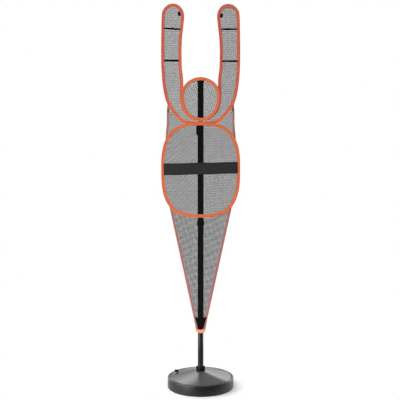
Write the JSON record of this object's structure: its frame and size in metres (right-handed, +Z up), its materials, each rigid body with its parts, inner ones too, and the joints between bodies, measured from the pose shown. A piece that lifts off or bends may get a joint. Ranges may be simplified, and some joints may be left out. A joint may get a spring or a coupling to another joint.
{
  "type": "basketball defensive mannequin",
  "caption": "Net defender with raised arms on bound spring hoops, carried by a telescoping pole in a round fillable base.",
  "frame": {"origin": "on the floor under the base, on the pole's axis", "axes": "+Z up along the pole; the mannequin's front faces -Y; +X to the right as seen from the front"},
  "size_m": [0.4792, 0.4, 2.3227],
  "materials": {
    "base_plastic": "moulded satin polyethylene",
    "black_plastic": "moulded satin",
    "black_enamel": "gloss black enamel on steel tube",
    "rubber": "matt",
    "orange_tape": "ribbed grosgrain binding tape",
    "red_edge_tape": "narrow folded edge tape",
    "black_net": "open polyester mesh",
    "black_webbing": "woven webbing",
    "spring_steel": "bright drawn wire"
  },
  "bodies": {
    "base": {"base_tank": "base_plastic", "pole_socket": "black_plastic"},
    "cap_lift": {"fill_cap_gasket": "rubber"},
    "cap": {"fill_cap": "black_plastic"},
    "lower_pole": {"lower_tube": "black_enamel", "lower_tube_foot": "black_plastic", "lock_ferrule": "black_plastic", "lock_collet": "black_plastic"},
    "collar": {"twist_collar": "black_plastic"},
    "mannequin": {"upper_tube": "black_enamel", "upper_tube_guide": "black_plastic", "upper_tube_cap": "black_plastic", "head_binding": "orange_tape", "head_wire": "spring_steel", "head_net": "black_net", "head_strip": "black_webbing", "pole_pocket": "black_webbing", "torso_binding": "orange_tape", "torso_wire": "spring_steel", "torso_net": "black_net", "torso_strip": "black_webbing", "shoulder_strap": "black_webbing", "chest_band": "black_webbing", "arms_binding": "orange_tape", "arms_wire": "spring_steel", "right_arm_net": "black_net", "left_arm_net": "black_net", "right_upper_arm_strap": "black_webbing", "left_upper_arm_strap": "black_webbing", "right_lower_arm_strap": "black_webbing", "left_lower_arm_strap": "black_webbing", "right_hand_tab": "black_webbing", "left_hand_tab": "black_webbing", "right_shoulder_net": "black_net", "left_shoulder_net": "black_net", "right_shoulder_tape": "red_edge_tape", "left_shoulder_tape": "red_edge_tape", "leg_net": "black_net", "right_leg_tape": "red_edge_tape", "left_leg_tape": "red_edge_tape", "leg_strip": "black_webbing", "leg_pouch": "black_webbing", "leg_sleeve": "black_webbing", "mouth_hem": "orange_tape"}
  },
  "joints": [
    {"name": "fill_cap_lift", "type": "slide", "parent": "base", "child": "cap_lift", "axis": [0, 0, 1], "range_m": [0, 0.0127]},
    {"name": "fill_cap_turn", "type": "hinge", "parent": "cap_lift", "child": "cap", "pos_m": [-0.14941, 0.05438, 0.075], "axis": [0, 0, 1], "range_deg": [0, 1440]},
    {"name": "pole_turn", "type": "hinge", "parent": "base", "child": "lower_pole", "pos_m": [0, 0, 0.1], "axis": [0, 0, 1], "continuous": true},
    {"name": "lock_turn", "type": "hinge", "parent": "lower_pole", "child": "collar", "pos_m": [0, 0, 0.994], "axis": [0, 0, 1], "range_deg": [0, 180]},
    {"name": "height_slide", "type": "slide", "parent": "lower_pole", "child": "mannequin", "axis": [0, 0, 1], "range_m": [-0.19, 0.15]}
  ],
  "couplings": [
    {"joint": "fill_cap_lift", "follows": "fill_cap_turn", "m_per_rad": 0.0005}
  ]
}
